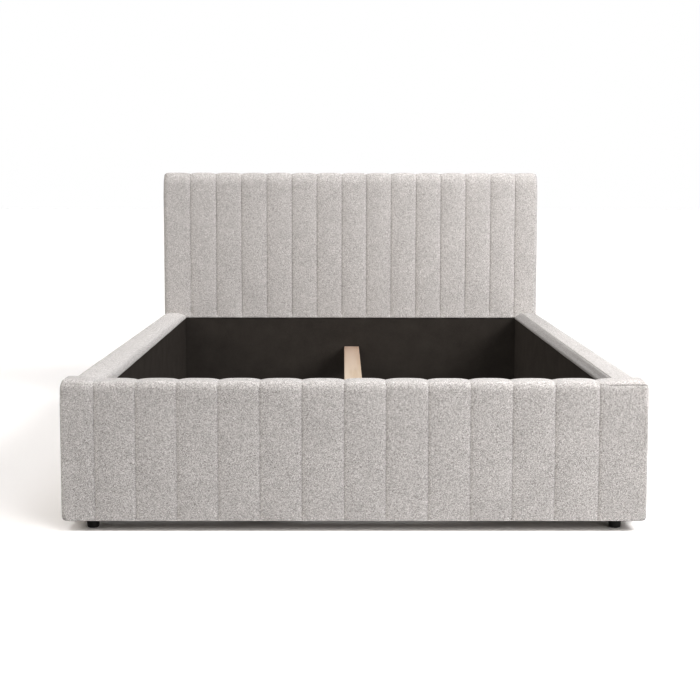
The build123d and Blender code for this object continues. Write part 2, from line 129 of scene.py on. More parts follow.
def bell(distance, width):
    """One at distance 0, falling off with the square of the distance as measured in widths."""
    return np.exp(-((distance / width) ** 2))


def ripple(points, wavelength, seed, waves=7):
    """Mean of level waves with seeded random directions and phases, of about one wavelength, from -1 to 1."""
    chance = np.random.default_rng(seed)
    ways = chance.normal(size=(waves, points.shape[-1]))
    ways *= chance.uniform(0.7, 1.4, size=(waves, 1)) / np.linalg.norm(ways, axis=1, keepdims=True)
    phases = chance.uniform(0, 2 * np.pi, size=waves)
    return np.sin(points @ ways.T * (2 * np.pi / wavelength) + phases).sum(axis=-1) / waves


def grid_faces(rows, columns, closed=False):
    """Four-cornered faces between neighbours of a numbered grid. A closed one joins its last column to its
    first."""
    number = np.arange(rows * columns).reshape(rows, columns)
    if closed:
        number = np.hstack([number, number[:, :1]])
    corners = [number[:-1, :-1], number[1:, :-1], number[1:, 1:], number[:-1, 1:]]
    return np.stack(corners, axis=-1).reshape(-1, 4)


def surface(name, points, faces, material, smoothed=True):
    """Puts points and four-cornered faces into a new mesh object as whole arrays."""
    mesh = bpy.data.meshes.new(name)
    points = np.asarray(points, np.float32).reshape(-1, 3)
    faces = np.asarray(faces, np.int32)
    mesh.vertices.add(len(points))
    mesh.vertices.foreach_set("co", points.ravel())
    mesh.loops.add(faces.size)
    mesh.loops.foreach_set("vertex_index", faces.ravel())
    mesh.polygons.add(len(faces))
    mesh.polygons.foreach_set("loop_start", np.arange(0, faces.size, faces.shape[1], dtype=np.int32))
    mesh.polygons.foreach_set("use_smooth", np.full(len(faces), smoothed))
    mesh.update(calc_edges=True)
    mesh.validate()
    piece = bpy.data.objects.new(name, mesh)
    bpy.context.scene.collection.objects.link(piece)
    piece.data.materials.append(material)
    return piece


def used_only(points, faces):
    """Drops the points that no face uses and renumbers the faces."""
    used, numbers = np.unique(faces, return_inverse=True)
    return points[used], numbers.reshape(faces.shape)


def keep_all(middles, across=None, end=None):
    """Keeps every cell."""
    return np.full(len(middles), True)


def box_skin(xs, ys, zs, keep):
    """Skin of a box cut into cells by three lists of places: each side is a grid of two of them at an end of
    the third. Cells whose middle passes keep stay, and points that two sides share become one."""
    axes = (xs, ys, zs)
    points, faces, count = [], [], 0
    for across in range(3):
        first, second = (across + 1) % 3, (across + 2) % 3
        u, v = np.meshgrid(axes[first], axes[second], indexing="ij")
        for end in (0, -1):
            side = np.empty(u.shape + (3,))
            side[..., first], side[..., second], side[..., across] = u, v, axes[across][end]
            side = side.reshape(-1, 3)
            cells = grid_faces(*u.shape)
            middles = side[cells].mean(axis=1)
            cells = cells[keep(middles, across, end)]
            faces.append((cells if end else cells[:, ::-1]) + count)
            points.append(side)
            count += len(side)
    points, faces = used_only(np.concatenate(points), np.concatenate(faces))
    merged, numbers = np.unique(np.round(points, 6), axis=0, return_inverse=True)
    return merged, numbers.ravel()[faces]


def rounded(points, low, high, low_round, high_round):
    """Rounded box: each point is held inside a smaller box, and what sticks out of that, measured in
    roundings, is brought to length one, so that edges turn into arcs and corners into balls. Gives points
    and normals."""
    core = np.clip(points, low + low_round, high - high_round)
    out = points - core
    size = np.where(out < 0, low_round, high_round)
    share = out / size
    share /= np.linalg.norm(share, axis=1, keepdims=True)
    normal = share / size
    normal /= np.linalg.norm(normal, axis=1, keepdims=True)
    return core + share * size, normal


def rounded_line(corners, radii, steps=8):
    """Line through corner points whose every inner corner is an arc of its own radius, as points in order."""
    corners = np.array(corners, float)
    out = [corners[:1]]
    for before, corner, after, radius in zip(corners, corners[1:], corners[2:], radii):
        into = (corner - before) / np.linalg.norm(corner - before)
        away = (after - corner) / np.linalg.norm(after - corner)
        turn = math.acos(np.clip(into @ away, -1, 1))
        reach = radius * math.tan(turn / 2)
        share = np.linspace(0, 1, steps)[:, None]
        start, end = corner - into * reach, corner + away * reach
        out.append((1 - share) ** 2 * start + 2 * share * (1 - share) * corner + share**2 * end)
    out.append(corners[-1:])
    return np.concatenate(out)


def resampled(line, features, fine, growth, coarse):
    """The same line with points graded along it, fine near the features, which are points close to the
    line."""
    length = np.concatenate([[0], np.cumsum(np.linalg.norm(np.diff(line, axis=0), axis=1))])
    nearest = [length[np.linalg.norm(line - np.array(point), axis=1).argmin()] for point in features]
    places = graded(0, length[-1], nearest, fine, growth, coarse)
    return np.stack([np.interp(places, length, line[:, axis]) for axis in range(line.shape[1])], axis=1)


def lathe(name, profile, centre, material, around=48):
    """Turns a profile of radius and height about an upright axis through centre, and closes both poles."""
    angle = np.linspace(0, 2 * np.pi, around, endpoint=False)
    radius, height = np.array(profile, float).T
    ring = np.stack([np.cos(angle), np.sin(angle)], axis=-1)
    points = np.empty((len(radius), around, 3))
    points[..., :2] = radius[:, None, None] * ring[None] + np.array(centre[:2])
    points[..., 2] = height[:, None] + centre[2]
    piece = surface(name, points, grid_faces(len(radius), around, closed=True)[:, ::-1], material)
    turned = bmesh.new()
    turned.from_mesh(piece.data)
    bmesh.ops.remove_doubles(turned, verts=turned.verts, dist=1e-6)
    bmesh.ops.recalc_face_normals(turned, faces=turned.faces)
    turned.to_mesh(piece.data)
    turned.free()
    return piece


def walled(piece, thickness):
    """Gives a sheet its thickness, inwards, with closed edges."""
    wall = piece.modifiers.new("thickness", "SOLIDIFY")
    wall.thickness = thickness
    wall.offset = -1
    return piece


# Finishes


class Finish:
    """One material: a Principled shader and the nodes that feed it."""

    def __init__(self, name, roughness, specular=0.5):
        self.material = bpy.data.materials.new(name)
        self.material.use_nodes = True
        self.nodes = self.material.node_tree.nodes
        self.links = self.material.node_tree.links
        self.shader = self.nodes["Principled BSDF"]
        self.shader.inputs["Roughness"].default_value = roughness
        self.shader.inputs["Specular IOR Level"].default_value = specular
        self.place = self.add("ShaderNodeTexCoord").outputs["Object"]

    def add(self, kind, **settings):
        node = self.nodes.new(kind)
        for key, value in settings.items():
            setattr(node, key, value)
        return node

    def join(self, source, target):
        self.links.new(source, target)

    def feed(self, value, socket):
        """Joins an output to a socket, or sets the socket to a colour or a number."""
        if isinstance(value, bpy.types.NodeSocket):
            self.join(value, socket)
        else:
            socket.default_value = (*value, 1) if isinstance(value, tuple) else value

    def stretched(self, scale):
        """Object coordinates with a scale for each way, for grain that runs one way."""
        mapping = self.add("ShaderNodeMapping")
        mapping.inputs["Scale"].default_value = scale
        self.join(self.place, mapping.inputs["Vector"])
        return mapping.outputs["Vector"]

    def noise(self, scale, detail=2.0, roughness=0.5, distortion=0.0, place=None):
        node = self.add("ShaderNodeTexNoise")
        node.inputs["Scale"].default_value = scale
        node.inputs["Detail"].default_value = detail
        node.inputs["Roughness"].default_value = roughness
        node.inputs["Distortion"].default_value = distortion
        self.join(place or self.place, node.inputs["Vector"])
        return node.outputs["Fac"]

    def cells(self, scale, place=None, output="Color"):
        node = self.add("ShaderNodeTexVoronoi")
        node.inputs["Scale"].default_value = scale
        self.join(place or self.place, node.inputs["Vector"])
        return node.outputs[output]

    def cell_values(self, scale, place=None):
        """One random value for each of many small cells."""
        split = self.add("ShaderNodeSeparateColor")
        self.join(self.cells(scale, place), split.inputs["Color"])
        return split.outputs[0]

    def ramp(self, value, stops):
        """Colour for a value, blended between stops of place and colour."""
        node = self.add("ShaderNodeValToRGB")
        band = node.color_ramp
        while len(band.elements) < len(stops):
            band.elements.new(0.5)
        for element, (place, colour) in zip(band.elements, stops):
            element.position = place
            element.color = (*colour, 1)
        self.join(value, node.inputs["Fac"])
        return node.outputs["Color"]

    def span(self, value, low, high, to_low, to_high):
        """Carries a value from one range to another."""
        node = self.add("ShaderNodeMapRange")
        for key, number in zip(("From Min", "From Max", "To Min", "To Max"), (low, high, to_low, to_high)):
            node.inputs[key].default_value = number
        self.join(value, node.inputs["Value"])
        return node.outputs["Result"]

    def mix(self, first, second, share, how="MIX"):
        node = self.add("ShaderNodeMix", data_type="RGBA", blend_type=how)
        self.feed(first, node.inputs[6])
        self.feed(second, node.inputs[7])
        self.feed(share, node.inputs[0])
        return node.outputs[2]

    def sum(self, first, second, how="ADD"):
        node = self.add("ShaderNodeMath", operation=how)
        self.feed(first, node.inputs[0])
        self.feed(second, node.inputs[1])
        return node.outputs[0]

    def product(self, first, second):
        return self.sum(first, second, "MULTIPLY")

    def weighed(self, first, first_weight, second, second_weight):
        """Sum of two values, each times its weight."""
        return self.sum(self.product(first, first_weight), self.product(second, second_weight))

    def colour(self, value):
        self.join(value, self.shader.inputs["Base Color"])

    def rough(self, value):
        self.join(value, self.shader.inputs["Roughness"])

    def bump(self, height, strength, distance):
        node = self.add("ShaderNodeBump")
        node.inputs["Strength"].default_value = strength
        node.inputs["Distance"].default_value = distance
        self.join(height, node.inputs["Height"])
        self.join(node.outputs["Normal"], self.shader.inputs["Normal"])


def melange_cloth():
    """Short looped cover cloth: warm grey, every loop of a slightly different tone, with soft broad changes
    of tone. A point attribute holds painted light and shade: above zero it darkens the cloth as painted
    shade, below zero it lightens it as painted light."""
    cover = Finish("melange_cover_cloth", roughness=0.92, specular=0.12)
    cover.shader.inputs["Sheen Weight"].default_value = 0.2
    cover.shader.inputs["Sheen Roughness"].default_value = 0.45
    loops_per_metre = 820
    fine = cover.noise(1100, detail=1, roughness=0.5)
    both = cover.weighed(cover.cell_values(loops_per_metre), 0.85, fine, 0.15)
    stops = [(0.12, (0.242, 0.227, 0.216)), (0.5, (0.459, 0.438, 0.426)), (0.88, (0.680, 0.655, 0.642))]
    broad = cover.span(cover.noise(9, detail=3), 0.3, 0.7, 0.97, 1.03)
    # The point attribute carries painted light and shade into the cloth's colour.
    painted_shading = cover.add("ShaderNodeAttribute", attribute_name="painted_shading").outputs["Fac"]
    shade = cover.product(broad, cover.span(painted_shading, -1.0, 2.0, 1.43, 0.14))
    cover.colour(cover.mix(cover.ramp(both, stops), shade, 1.0, "MULTIPLY"))
    knot = cover.span(cover.cells(loops_per_metre, output="Distance"), 0.0, 0.8, 1.0, 0.0)
    cover.bump(cover.sum(knot, fine), 0.45, 0.0006)
    return cover.material


def lining_cloth():
    """Dark brushed lining: brown-black with faint cloudy wear and a fine felted surface."""
    lining = Finish("brushed_lining_cloth", roughness=0.95, specular=0.03)
    cloud = lining.noise(14, detail=4, roughness=0.6)
    fibre = lining.noise(700, detail=3, roughness=0.7, distortion=1.2)
    stops = [(0.35, (0.037, 0.032, 0.028)), (0.62, (0.062, 0.054, 0.048))]
    lining.colour(lining.ramp(lining.weighed(cloud, 0.3, fibre, 0.7), stops))
    lining.bump(fibre, 0.25, 0.0005)
    return lining.material


def back_cloth():
    """Thin non-woven backing: near black with closely set pressed dimples and stray fibres."""
    backing = Finish("nonwoven_back_cloth", roughness=0.85, specular=0.2)
    dimple = backing.cells(420, output="Distance")
    fibre = backing.noise(260, detail=4, roughness=0.7, distortion=2.0)
    stops = [(0.1, (0.014, 0.014, 0.015)), (0.5, (0.034, 0.034, 0.036))]
    backing.colour(backing.ramp(backing.product(dimple, fibre), stops))
    backing.bump(dimple, 0.5, 0.0005)
    return backing.material


def particle_board():
    """Raw particle board: pressed chips of many straw and brown tones with a rough cut face."""
    board = Finish("raw_particle_board", roughness=0.85)
    chip = board.cell_values(210, place=board.stretched((1, 1, 0.45)))
    shade = board.weighed(chip, 0.7, board.noise(900, detail=2), 0.3)
    stops = [(0.1, (0.25, 0.165, 0.09)), (0.5, (0.46, 0.34, 0.21)), (0.9, (0.63, 0.50, 0.34))]
    board.colour(board.ramp(shade, stops))
    board.bump(shade, 0.35, 0.0008)
    return board.material


def hardboard():
    """Smooth brown hardboard with short pressed fibres."""
    board = Finish("smooth_hardboard", roughness=0.55)
    fibre = board.noise(420, detail=4, roughness=0.7, distortion=1.5)
    board.colour(board.ramp(fibre, [(0.3, (0.15, 0.08, 0.042)), (0.7, (0.27, 0.165, 0.092))]))
    board.bump(fibre, 0.2, 0.0004)
    return board.material


def grain_scale(along, across, lengthwise):
    """Pattern scale that is across in two ways and lengthwise along the third, for grain along that axis."""
    scale = [across] * 3
    scale[along] = lengthwise
    return tuple(scale)


def planed_pine(name, along, head_end_shade_tint=None):
    """Planed softwood whose growth rings run along one way: pale straw with warmer late wood and a few pink
    clouds. The last argument, if given, is a tint that it reaches towards its head end: painted shade where
    the headboard stands over it."""
    wood = Finish(name, roughness=0.62, specular=0.3)
    lengthwise = wood.stretched(grain_scale(along, 6.0, 0.28))
    wander = wood.noise(1.6, detail=2, place=lengthwise)
    ring = wood.add("ShaderNodeTexWave", wave_type="RINGS", rings_direction="XYZ"[along])
    ring.inputs["Scale"].default_value = 5.5
    ring.inputs["Distortion"].default_value = 3.2
    ring.inputs["Detail"].default_value = 2.5
    wood.join(lengthwise, ring.inputs["Vector"])
    fibre = wood.noise(1.0, detail=3, roughness=0.6, place=wood.stretched(grain_scale(along, 520.0, 9.0)))
    stops = [(0.0, (0.553, 0.474, 0.392)), (0.75, (0.530, 0.447, 0.365)), (1.0, (0.489, 0.399, 0.308))]
    tone = wood.ramp(ring.outputs["Fac"], stops)
    warm = wood.mix(tone, (0.516, 0.420, 0.342), wood.span(wander, 0.42, 0.75, 0.0, 0.4))
    if head_end_shade_tint:
        apart = wood.add("ShaderNodeSeparateXYZ")
        wood.join(wood.place, apart.inputs["Vector"])
        warm = wood.mix(warm, head_end_shade_tint, wood.span(apart.outputs["Y"], 0.15, 1.0, 0.0, 1.0), "MULTIPLY")
    wood.colour(wood.mix(warm, wood.span(fibre, 0.3, 0.7, 0.93, 1.05), 1.0, "MULTIPLY"))
    wood.rough(wood.span(fibre, 0.3, 0.7, 0.52, 0.72))
    wood.bump(fibre, 0.25, 0.0004)
    return wood.material


def powder_coat():
    """Black powder coat with its orange-peel skin."""
    paint = Finish("black_powder_coat", roughness=0.48)
    peel = paint.noise(520, detail=2)
    paint.colour(paint.ramp(peel, [(0.35, (0.012, 0.012, 0.0125)), (0.65, (0.021, 0.021, 0.022))]))
    paint.rough(paint.span(peel, 0.3, 0.7, 0.42, 0.56))
    paint.bump(peel, 0.35, 0.0003)
    return paint.material


def plated(name, dark, light, roughness):
    """Plated steel: rolled streaks, faint spangle and a slightly uneven gloss."""
    metal = Finish(name, roughness=roughness)
    metal.shader.inputs["Metallic"].default_value = 1.0
    spangle = metal.cells(190, output="Distance")
    streak = metal.noise(1.0, detail=3, place=metal.stretched((900, 900, 25)))
    tone = metal.weighed(spangle, 0.5, streak, 0.6)
    metal.colour(metal.ramp(tone, [(0.25, dark), (0.75, light)]))
    metal.rough(metal.span(streak, 0.3, 0.7, roughness - 0.08, roughness + 0.12))
    metal.bump(streak, 0.12, 0.0002)
    return metal.material


def moulded_plastic():
    """Black moulded plastic with a fine spark-eroded grain and faint scuffs."""
    plastic = Finish("moulded_black_plastic", roughness=0.5)
    grain = plastic.noise(1400, detail=2)
    scuff = plastic.noise(60, detail=5, roughness=0.75)
    plastic.colour(plastic.ramp(scuff, [(0.4, (0.028, 0.0265, 0.0245)), (0.75, (0.050, 0.048, 0.045))]))
    plastic.rough(plastic.span(grain, 0.3, 0.7, 0.44, 0.6))
    plastic.bump(grain, 0.3, 0.0002)
    return plastic.material


cover_cloth = melange_cloth()
lining_felt = lining_cloth()
backing = back_cloth()
chip_board = particle_board()
brown_board = hardboard()
pine_across = planed_pine("planed_pine_across", 0)
pine_along = planed_pine("planed_pine_along", 1)
pine_upright = planed_pine("planed_pine_upright", 2)
# The beam's tint darkens it towards its head end: painted shade from the headboard.
pine_beam = planed_pine("planed_pine_beam", 1, head_end_shade_tint=(0.72, 0.645, 0.63))
black_paint = powder_coat()
bright_zinc = plated("bright_zinc_plate", (0.42, 0.43, 0.45), (0.66, 0.67, 0.69), 0.32)
yellow_zinc = plated("yellow_zinc_plate", (0.48, 0.40, 0.24), (0.70, 0.61, 0.40), 0.36)
black_plastic = moulded_plastic()


# Sewn channels


def channel_place(x, seams, edge):
    """Distance to the nearest seam, and half the width of the channel that holds it."""
    after = np.searchsorted(seams, x)
    ends = np.concatenate([[-edge], seams, [edge]])
    half = (ends[after + 1] - ends[after]) / 2
    distance = np.abs(x[:, None] - seams[None, :]).min(axis=1)
    return distance, half


def channel_relief(distance, half, shoulder, decay, crown, pinch):
    """Height below the crest: an exponential shoulder away from the seam, a parabola over the channel and a
    narrow pinched line at the seam itself."""
    share = np.minimum(distance / half, 1)
    rise = shoulder * (1 - np.exp(-distance / decay)) + crown * (1 - (1 - share) ** 2)
    return rise - shoulder - crown - pinch * bell(distance, stitch_width)


def top_relief(distance, half, depth, power, pinch):
    """Height below the crest over the top: one minus a power of the share of the way to the seam."""
    share = np.clip(1 - distance / half, 0, 1)
    return -depth * share**power - pinch * bell(distance, stitch_width)


def gathers(points, distance, seed):
    """Small puckers beside a seam that die out within a finger's width."""
    along = points * np.array([0.4, 1.0, 1.0])
    return np.exp(-distance / (9 * mm)) * ripple(along, 23 * mm, seed) * 0.8 * mm


def facing(normal):
    """How much each point faces forwards, up and backwards: the square of its normal's part that way."""
    front = np.where(normal[:, 1] < 0, normal[:, 1], 0) ** 2
    top = np.where(normal[:, 2] > 0, normal[:, 2], 0) ** 2
    back = np.where(normal[:, 1] > 0, normal[:, 1], 0) ** 2
    return front, top, back


def headboard_roundings(flat, low, high):
    """Roundings at the low and the high sides. The front rolls more near the top, and the top rolls down
    further at the front than at the back. The lower edge stays sharp."""
    sharp = 1e-5
    depth = (flat[:, 1] - low[1]) / (high[1] - low[1])
    near_top = smooth(flat[:, 2], high[2] - 90 * mm, high[2] - 40 * mm)
    ones = np.ones(len(flat))
    front = between(head_end_round, head_front_roll, near_top)
    top = between(head_roll_height, head_back_roll, smooth(depth, 0, 0.45))
    low_round = np.stack([head_end_reach * ones, front, sharp * ones], axis=1)
    high_round = np.stack([head_end_reach * ones, head_back_roll * ones, top], axis=1)
    return low_round, high_round


def make_headboard_cover():
    """Quilted cover over the front, top and sides of the headboard and a little way onto its back: a rounded
    box whose points move along their normals by the relief of channels, their gathers and a slow ripple."""
    low, high = (np.array(corner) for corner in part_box("headboard_pad"))
    features = np.concatenate([head_seams, [-core_half, core_half]])
    xs = graded(low[0], high[0], features, fine=1.1 * mm, growth=0.2, coarse=9 * mm)
    ys = graded(low[1], high[1], [], fine=2.5 * mm, growth=0.25, coarse=8 * mm)
    zs = graded(low[2], high[2], [pad_edge], fine=3 * mm, growth=0.1, coarse=8.3 * mm)

    def keep(middles, across, end):
        x, z = np.abs(middles[:, 0]), middles[:, 2]
        if across == 2:
            return np.full(len(middles), end == -1)
        if across == 1 and end == 0:
            return (z > pad_edge) | (x > core_half)
        if across == 1:
            return (z > high[2] - head_back_rim) | (x > high[0] - head_back_rim)
        return keep_all(middles)

    flat, faces = box_skin(xs, ys, zs, keep)
    points, normal = rounded(flat, low, high, *headboard_roundings(flat, low, high))
    distance, half = channel_place(flat[:, 0], head_seams, high[0])
    front, top, back = facing(normal)
    channels = channel_relief(distance, half, shoulder=3.4 * mm, decay=9 * mm, crown=3.6 * mm, pinch=1.2 * mm)
    relief = front * channels
    relief *= between(head_hem_relief, 1, smooth(flat[:, 2], pad_edge, pad_edge + head_hem_fade))
    relief += top * top_relief(distance, half, depth=5 * mm, power=3.2, pinch=1.2 * mm)
    above = flat[:, 2] > pad_edge - 1 * mm
    relief = np.where(above, relief + gathers(flat, distance, 11) * (front + top), 0)
    relief += 0.6 * mm * ripple(flat, 170 * mm, 12) * (1 - back)
    relief += head_crest_rise * top - side_tuck * normal[:, 0] ** 2
    points += normal * relief[:, None]
    tuck = np.clip(1 - (flat[:, 2] - pad_edge) / head_tuck, 0, 1) * front * above
    points[:, 1] += head_tuck_depth * tuck**2
    points[:, 1] = np.minimum(points[:, 1], high[1])
    return walled(surface("headboard_cover", points, faces, cover_cloth), cloth)


def footboard_roundings(flat, low, high):
    """Roundings at the low and the high sides. All roll more near the top, the ends also near the floor, the
    top more at the front, and the bottom more towards its two ends."""
    near_top = smooth(flat[:, 2], high[2] - 75 * mm, high[2] - 28 * mm)
    near_front = 1 - smooth((flat[:, 1] - low[1]) / (high[1] - low[1]), 0.1, 0.6)
    near_floor = 1 - smooth(flat[:, 2], low[2] + 10 * mm, low[2] + 60 * mm)
    near_end = smooth(np.abs(flat[:, 0]), high[0] - 24 * mm, high[0] - 9 * mm)
    end = between(foot_end_round, foot_end_round_top, near_top) + foot_end_round_more * near_floor
    front = between(foot_end_round, foot_front_roll, near_top)
    back = between(foot_end_round, foot_back_roll, near_top)
    top = between(foot_back_roll, foot_roll_height, near_front)
    bottom = between(foot_bottom_round, foot_bottom_corner, near_end)
    return np.stack([end, front, bottom], axis=1), np.stack([end, back, top], axis=1)


def panel_seam(flat, front):
    """Depth of the seam across the footboard's front: faint over the channels, deep in the last one on the
    right, and slight in the first one on the left."""
    outside = smooth(flat[:, 0], 675 * mm, 700 * mm) + 0.15 * smooth(-flat[:, 0], 700 * mm, 720 * mm)
    line = bell(flat[:, 2] - foot_panel_seam, 1.1 * mm) * (flat[:, 1] < front + 1 * mm)
    return (0.25 + 4 * outside) * mm * line


def make_footboard_cover():
    """Quilted cover over the front, top and sides of the footboard, down its inside and under its edge, made
    like the headboard's. Its crest rises to an ear at each end, and its lower hem hangs a little."""
    low, high = (np.array(corner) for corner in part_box("footboard_pad"))
    features = np.concatenate([foot_seams, [-core_half, core_half]])
    xs = graded(low[0], high[0], features, fine=1.1 * mm, growth=0.22, coarse=9 * mm)
    ys = graded(low[1], high[1], [], fine=2 * mm, growth=0.25, coarse=7 * mm)
    zs = graded(low[2], high[2], [foot_panel_seam], fine=0.7 * mm, growth=0.13, coarse=8 * mm)

    def keep(middles, across, end):
        x, y, z = np.abs(middles[:, 0]), middles[:, 1], middles[:, 2]
        if across == 2 and end == 0:
            return (y < low[1] + foot_bottom_lip) | (x > core_half - foot_core_lap)
        if across == 1 and end == -1:
            return (z > strip_edge) | (x > core_half)
        return keep_all(middles)

    flat, faces = box_skin(xs, ys, zs, keep)
    points, normal = rounded(flat, low, high, *footboard_roundings(flat, low, high))
    distance, half = channel_place(flat[:, 0], foot_seams, high[0])
    front, top, back = facing(normal)
    channels = channel_relief(distance, half, shoulder=3.1 * mm, decay=6.5 * mm, crown=2 * mm, pinch=0.6 * mm)
    relief = front * channels
    relief += top * top_relief(distance, half, depth=5 * mm, power=3.5, pinch=0.2 * mm)
    relief += back * top_relief(distance, half, depth=2.5 * mm, power=4, pinch=0.8 * mm)
    relief += gathers(flat, distance, 21) * (front + top)
    relief += 0.5 * mm * ripple(flat, 160 * mm, 22) * (front + top)
    relief -= panel_seam(flat, low[1])
    ear = np.where(flat[:, 0] < 0, foot_ear_left, foot_ear_right)
    ear = ear * smooth(np.abs(flat[:, 0]), 700 * mm, 750 * mm)
    relief += (ear - foot_crest_drop) * top - side_tuck * normal[:, 0] ** 2
    points += normal * relief[:, None]
    points[:, 2] = np.maximum(points[:, 2], low[2])
    points[:, 2] -= foot_hem_drop * (1 - smooth(points[:, 2], low[2], low[2] + foot_hem_reach))
    return walled(surface("footboard_cover", points, faces, cover_cloth), cloth)


def along_rail(y, values):
    """Millimetres that go in a straight line from the first value at the foot end to the second at the head
    end."""
    return mm * np.interp(y, [-1.0, 1.0], values)


# The covers of the two rails. Their corners go across the rail from its inner hem over the top to its
# underside, as millimetres from its inner face and from its top, and each corner between the ends has its
# radius. The right rail slopes up to a seam, and the left one is pulled into a soft roll.
# The drift is given at the rail's foot end and head end: hem outwards and up, seam outwards and up, top up.
right_rail = {
    "name": "right_rail_cover",
    "corners": [
        (5.5, -21.2), (2.8, -22), (2.8, -17.5), (13, -11.5), (29, -0.8), (52, 0), (94, -1), (95, -80),
    ],
    "radii": [0.6, 3, 30, 1.2, 60, 15, 4],
    "seam_corner": 4,
    "pinch": 2.6 * mm,
    "drift": [(0, 0), (0, 0), (-5.5, 1.5), (-0.6, 0.2), (-2, 0)],
}
left_rail = {
    "name": "left_rail_cover",
    "corners": [(4.5, -26.2), (1.5, -27), (1.5, -22), (6, -9), (36, -1), (74, -1.5), (94, -4), (95, -80)],
    "radii": [0.6, 8, 16, 60, 40, 17, 4],
    "seam_corner": 3,
    "pinch": 0.1 * mm,
    "drift": [(0, 0), (-3.6, 8), (0, 0), (0, 0), (-3.5, 0)],
}


def rail_outline(rail, low, high):
    """Outline across a rail as points, with the way out of the rail at each, and the places of hem and seam.
    Its last corner lies at the underside and is followed by a lap under the rail."""
    corners = np.array([low[0], high[2]]) + mm * np.array(rail["corners"])
    corners[-1, 1] = low[2]
    corners = np.vstack([corners, corners[-1] - np.array([rail_under_lap, 0])])
    hem, seam = corners[1], corners[rail["seam_corner"]]
    line = rounded_line(corners, mm * np.array(rail["radii"]))
    outline = resampled(line, [hem, seam], fine=0.8 * mm, growth=0.16, coarse=9 * mm)
    edges = np.gradient(outline, axis=0)
    out = np.stack([-edges[:, 1], edges[:, 0]], axis=1)
    out /= np.linalg.norm(out, axis=1, keepdims=True)
    return outline, out, hem, seam


def rail_relief(points, from_seam, pinch, side, low, high):
    """A slow ripple away from the seam, short gathers beside it, the seam's pinch, and ends drawn in."""
    relief = 0.7 * mm * ripple(points, 210 * mm, 31 + side) * (1 - np.exp(-from_seam / (7 * mm)))
    relief += 0.35 * mm * ripple(points, 38 * mm, 41 + side) * np.exp(-from_seam / (16 * mm))
    relief -= pinch * bell(from_seam, 1.8 * mm)
    from_end = np.minimum(points[..., 1] - low[1], high[1] - points[..., 1])
    relief -= 1.2 * mm * np.exp(-from_end / (5 * mm))
    hidden = points[..., 2] < low[2] + 1 * mm
    return np.where(hidden, 0, relief)


def folded_ends(points):
    """The same rows, with each end row once more, folded over the ends of the rail's boards."""
    inner_board, outer_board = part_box("right_rail_inner_board")[0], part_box("right_rail_outer_board")[1]
    folded = points[[0, -1]]
    folded[..., 0] = folded[..., 0].clip(inner_board.x, outer_board.x)
    folded[..., 2] = folded[..., 2].clip(None, outer_board.z)
    return np.concatenate([folded[:1], points, folded[1:]])


def right_rail_painted_shade(outline, ys, hem, seam, top):
    """Painted shade on the right rail: dark from hem to seam, where its slope turns away from the light,
    darkest in the seam as the shade of its groove, and over the rest darker towards the head end as painted
    falloff of the light."""
    soft = 0.8 * mm
    across = 1 - smooth(outline[:, 0], seam[0] - soft, seam[0] + soft)
    across *= np.interp(outline[:, 0], [hem[0], seam[0]], [1, 0.5]) * (outline[:, 1] > top - rail_top_reach)
    across += 1.4 * bell(np.linalg.norm(outline - seam, axis=1), stitch_width)
    return across + 0.4 * smooth(ys, 0.1, 0.95)[:, None] * (1 - across).clip(0)


def left_rail_painted_light_and_shade(outline, ys, hem, seam, top):
    """Painted light and shade on the left rail: a little painted light over its top and painted shade near
    its hem.
    """
    height = smooth(outline[:, 1], top - rail_top_reach, top - 5 * mm)
    across = (0.55 * bell(np.linalg.norm(outline - hem, axis=1), 18 * mm) - 0.3) * height
    return np.broadcast_to(across, (len(ys), len(outline)))


def make_rail_cover(rail, side, painted_shading_over):
    """Cover of one side rail: an outline of flats and soft corners carried along the rail and moved along its
    normals by its relief, with its hem, seam and top drifting a little and its ends folded over the boards.
    side is 1 for right and -1 for left, and the last argument gives the painted light and shade that the
    cover keeps as a point attribute."""
    low, high = (np.array(corner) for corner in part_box("right_rail_pad"))
    top = high[2]
    outline, out, hem, seam = rail_outline(rail, low, high)
    ys = graded(low[1], high[1], [], fine=3 * mm, growth=0.1, coarse=10 * mm)
    points = np.empty((len(ys), len(outline), 3))
    points[..., 0], points[..., 1], points[..., 2] = outline[None, :, 0], ys[:, None], outline[None, :, 1]
    normal = np.zeros_like(points)
    normal[..., 0], normal[..., 2] = out[None, :, 0], out[None, :, 1]
    from_seam = np.linalg.norm(outline - seam, axis=1)[None, :]
    from_hem = np.linalg.norm(outline - hem, axis=1)[None, :]
    points += normal * rail_relief(points, from_seam, rail["pinch"], side, low, high)[..., None]
    at_hem, at_seam = bell(from_hem, 9 * mm), bell(from_seam, 15 * mm)
    height = smooth(outline[None, :, 1], top - rail_top_reach, top - 5 * mm)
    hem_out, hem_up, seam_out, seam_up, top_up = (along_rail(ys, pair)[:, None] for pair in rail["drift"])
    points[..., 0] += hem_out * at_hem + seam_out * at_seam
    points[..., 2] += hem_up * at_hem + seam_up * at_seam + top_up * height
    points = folded_ends(points)
    points[..., 0] *= side
    faces = grid_faces(*points.shape[:2])
    cover = surface(rail["name"], points, faces if side == 1 else faces[:, ::-1], cover_cloth)
    # Painted light and shade for each point, the folded end rows included.
    painted_shading = painted_shading_over(outline, ys, hem, seam, top)[np.r_[0, 0 : len(ys), -1]]
    attribute = cover.data.attributes.new("painted_shading", "FLOAT", "POINT")
    attribute.data.foreach_set("value", painted_shading.ravel().astype(np.float32))
    return walled(cover, cloth)


headboard_cover = make_headboard_cover()
footboard_cover = make_footboard_cover()
right_rail_cover = make_rail_cover(right_rail, 1, right_rail_painted_shade)
left_rail_cover = make_rail_cover(left_rail, -1, left_rail_painted_light_and_shade)
for cover, node in (
    (headboard_cover, "headboard_pad"),
    (footboard_cover, "footboard_pad"),
    (right_rail_cover, "right_rail_pad"),
    (left_rail_cover, "left_rail_pad"),
):
    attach(cover, "bed_frame")
    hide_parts(node)


# Linings and back cloth


